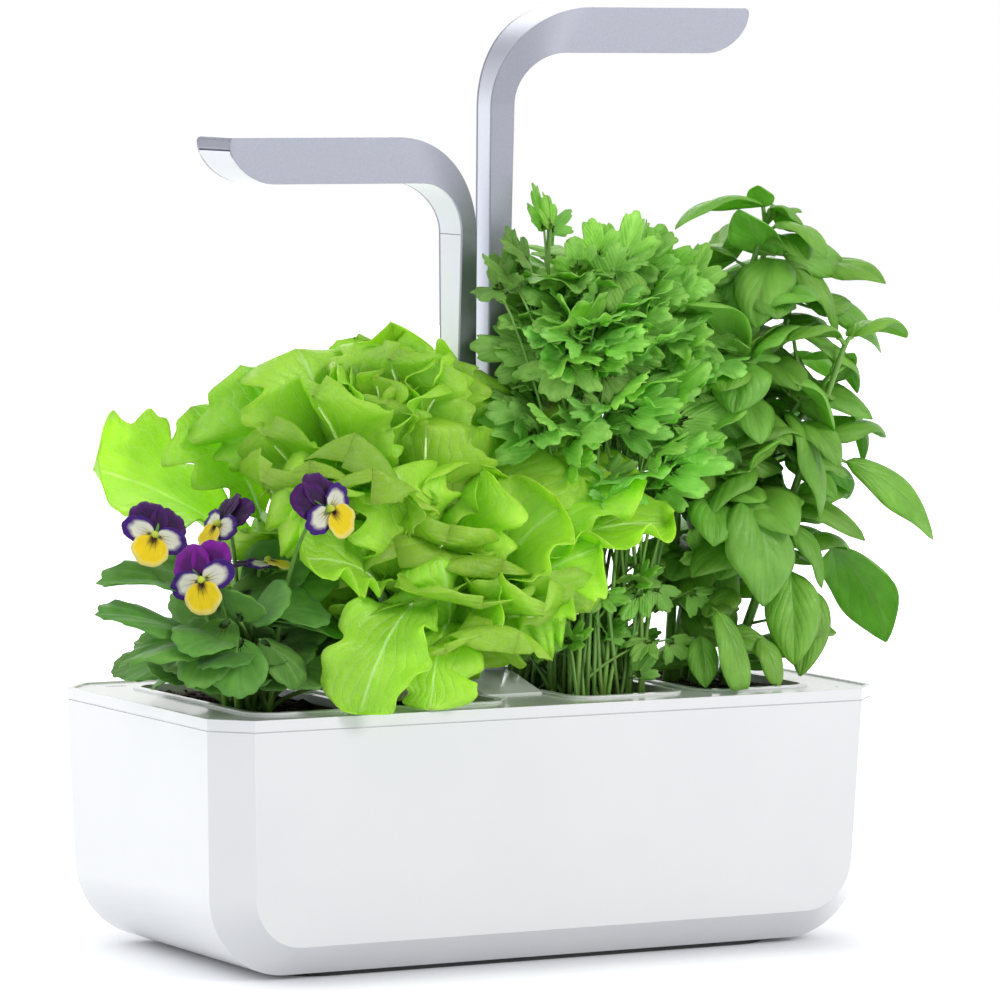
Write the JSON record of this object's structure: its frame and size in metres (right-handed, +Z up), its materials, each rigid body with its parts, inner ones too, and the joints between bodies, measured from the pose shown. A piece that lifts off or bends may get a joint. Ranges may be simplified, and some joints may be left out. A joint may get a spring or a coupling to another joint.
{
  "type": "countertop hydroponic garden",
  "caption": "Countertop hydroponic garden: white water tank with a lift-off tray of plant pods and two height-adjustable grow lamps on sliding columns.",
  "frame": {"origin": "centre of the underside of the foot mat", "axes": "+X to the viewer's right along the row of pods, +Y to the back, +Z up along the lamp columns"},
  "size_m": [0.3858, 0.1833, 0.4],
  "materials": {
    "gloss_shell": "white moulded plastic, glossy",
    "inner_plastic": "white moulded plastic, plain",
    "mat_rubber": "soft dark rubber",
    "pad_rubber": "dense friction rubber",
    "screw_steel": "plain steel",
    "circuit_board": "green solder mask",
    "dark_plastic": "black moulded plastic",
    "clear_plastic": "clear moulded plastic",
    "float_plastic": "orange moulded foam plastic",
    "button_plastic": "silver grey moulded plastic",
    "lamp_silver": "fine silver metallic lacquer",
    "lamp_plate": "fine grey metallic lacquer, satin",
    "diffuser_plastic": "milky white diffuser",
    "bare_aluminium": "bare aluminium",
    "led_board_white": "white solder mask",
    "led_chip": "yellow phosphor under clear resin",
    "substrate": "dark moist fibre substrate, loose",
    "wick_felt": "white felt",
    "viola_leaf": "soft grey-green leaf, slightly hairy",
    "viola_petal": "velvety purple, white and yellow petals",
    "lettuce_leaf": "thin, bright yellow-green, translucent leaf",
    "herb_stem": "pale green stem",
    "parsley_leaf": "deep green satin leaf",
    "basil_leaf": "glossy mid-green leaf, raised between the veins"
  },
  "bodies": {
    "tank": {"tank": "gloss_shell", "foot_mat": "mat_rubber"},
    "tray": {"tray": "gloss_shell", "mast_sleeve": "inner_plastic", "mast_collar": "gloss_shell", "brake_pads": "pad_rubber", "mast_screws": "screw_steel", "control_housing": "inner_plastic", "control_board": "circuit_board", "button_switch": "dark_plastic", "power_socket": "dark_plastic", "light_pipe": "clear_plastic", "indicator_led": "dark_plastic", "level_window": "clear_plastic", "float_guide": "clear_plastic"},
    "level_float": {"level_float": "float_plastic"},
    "power_button": {"power_button": "button_plastic"},
    "left_lamp": {"left_band": "lamp_silver", "left_front_plate": "lamp_plate", "left_rear_plate": "lamp_plate", "left_diffuser": "diffuser_plastic", "left_column_cover": "diffuser_plastic", "left_spine": "bare_aluminium", "left_heat_sink": "bare_aluminium", "left_led_board": "led_board_white", "left_leds": "led_chip", "left_ribbon": "inner_plastic", "left_end_block": "dark_plastic"},
    "right_lamp": {"right_band": "lamp_silver", "right_front_plate": "lamp_plate", "right_rear_plate": "lamp_plate", "right_diffuser": "diffuser_plastic", "right_column_cover": "diffuser_plastic", "right_spine": "bare_aluminium", "right_heat_sink": "bare_aluminium", "right_led_board": "led_board_white", "right_leds": "led_chip", "right_ribbon": "inner_plastic", "right_end_block": "dark_plastic"},
    "pod1": {"pod1_cup": "gloss_shell", "pod1_substrate": "substrate", "pod1_wick": "wick_felt", "viola_plant": "viola_leaf", "viola_flowers": "viola_petal"},
    "pod2": {"pod2_cup": "gloss_shell", "pod2_substrate": "substrate", "pod2_wick": "wick_felt", "lettuce_plant": "lettuce_leaf"},
    "pod3": {"pod3_cup": "gloss_shell", "pod3_substrate": "substrate", "pod3_wick": "wick_felt", "parsley_stems": "herb_stem", "parsley_leaves": "parsley_leaf"},
    "pod4": {"pod4_cup": "gloss_shell", "pod4_substrate": "substrate", "pod4_wick": "wick_felt", "basil_stems": "herb_stem", "basil_leaves": "basil_leaf"}
  },
  "joints": [
    {"name": "tray_lift", "type": "slide", "parent": "tank", "child": "tray", "axis": [0, 0, 1], "range_m": [0, 0.12]},
    {"name": "left_lamp_slide", "type": "slide", "parent": "tray", "child": "left_lamp", "axis": [0, 0, 1], "range_m": [0, 0.055]},
    {"name": "right_lamp_slide", "type": "slide", "parent": "tray", "child": "right_lamp", "axis": [0, 0, 1], "range_m": [-0.055, 0]},
    {"name": "power_button_press", "type": "slide", "parent": "tray", "child": "power_button", "axis": [0, 0, -1], "range_m": [0, 0.001], "stiffness_N_per_m": 300, "springref_m": -0.001},
    {"name": "level_float_rise", "type": "slide", "parent": "tray", "child": "level_float", "axis": [0, 0, 1], "range_m": [0, 0.03]},
    {"name": "pod1_lift", "type": "slide", "parent": "tray", "child": "pod1", "axis": [0, 0, 1], "range_m": [0, 0.064], "deforming": ["viola_plant", "viola_flowers"]},
    {"name": "pod2_lift", "type": "slide", "parent": "tray", "child": "pod2", "axis": [0, 0, 1], "range_m": [0, 0.064], "deforming": ["lettuce_plant"]},
    {"name": "pod3_lift", "type": "slide", "parent": "tray", "child": "pod3", "axis": [0, 0, 1], "range_m": [0, 0.064], "deforming": ["parsley_stems", "parsley_leaves"]},
    {"name": "pod4_lift", "type": "slide", "parent": "tray", "child": "pod4", "axis": [0, 0, 1], "range_m": [0, 0.064], "deforming": ["basil_stems", "basil_leaves"]}
  ]
}
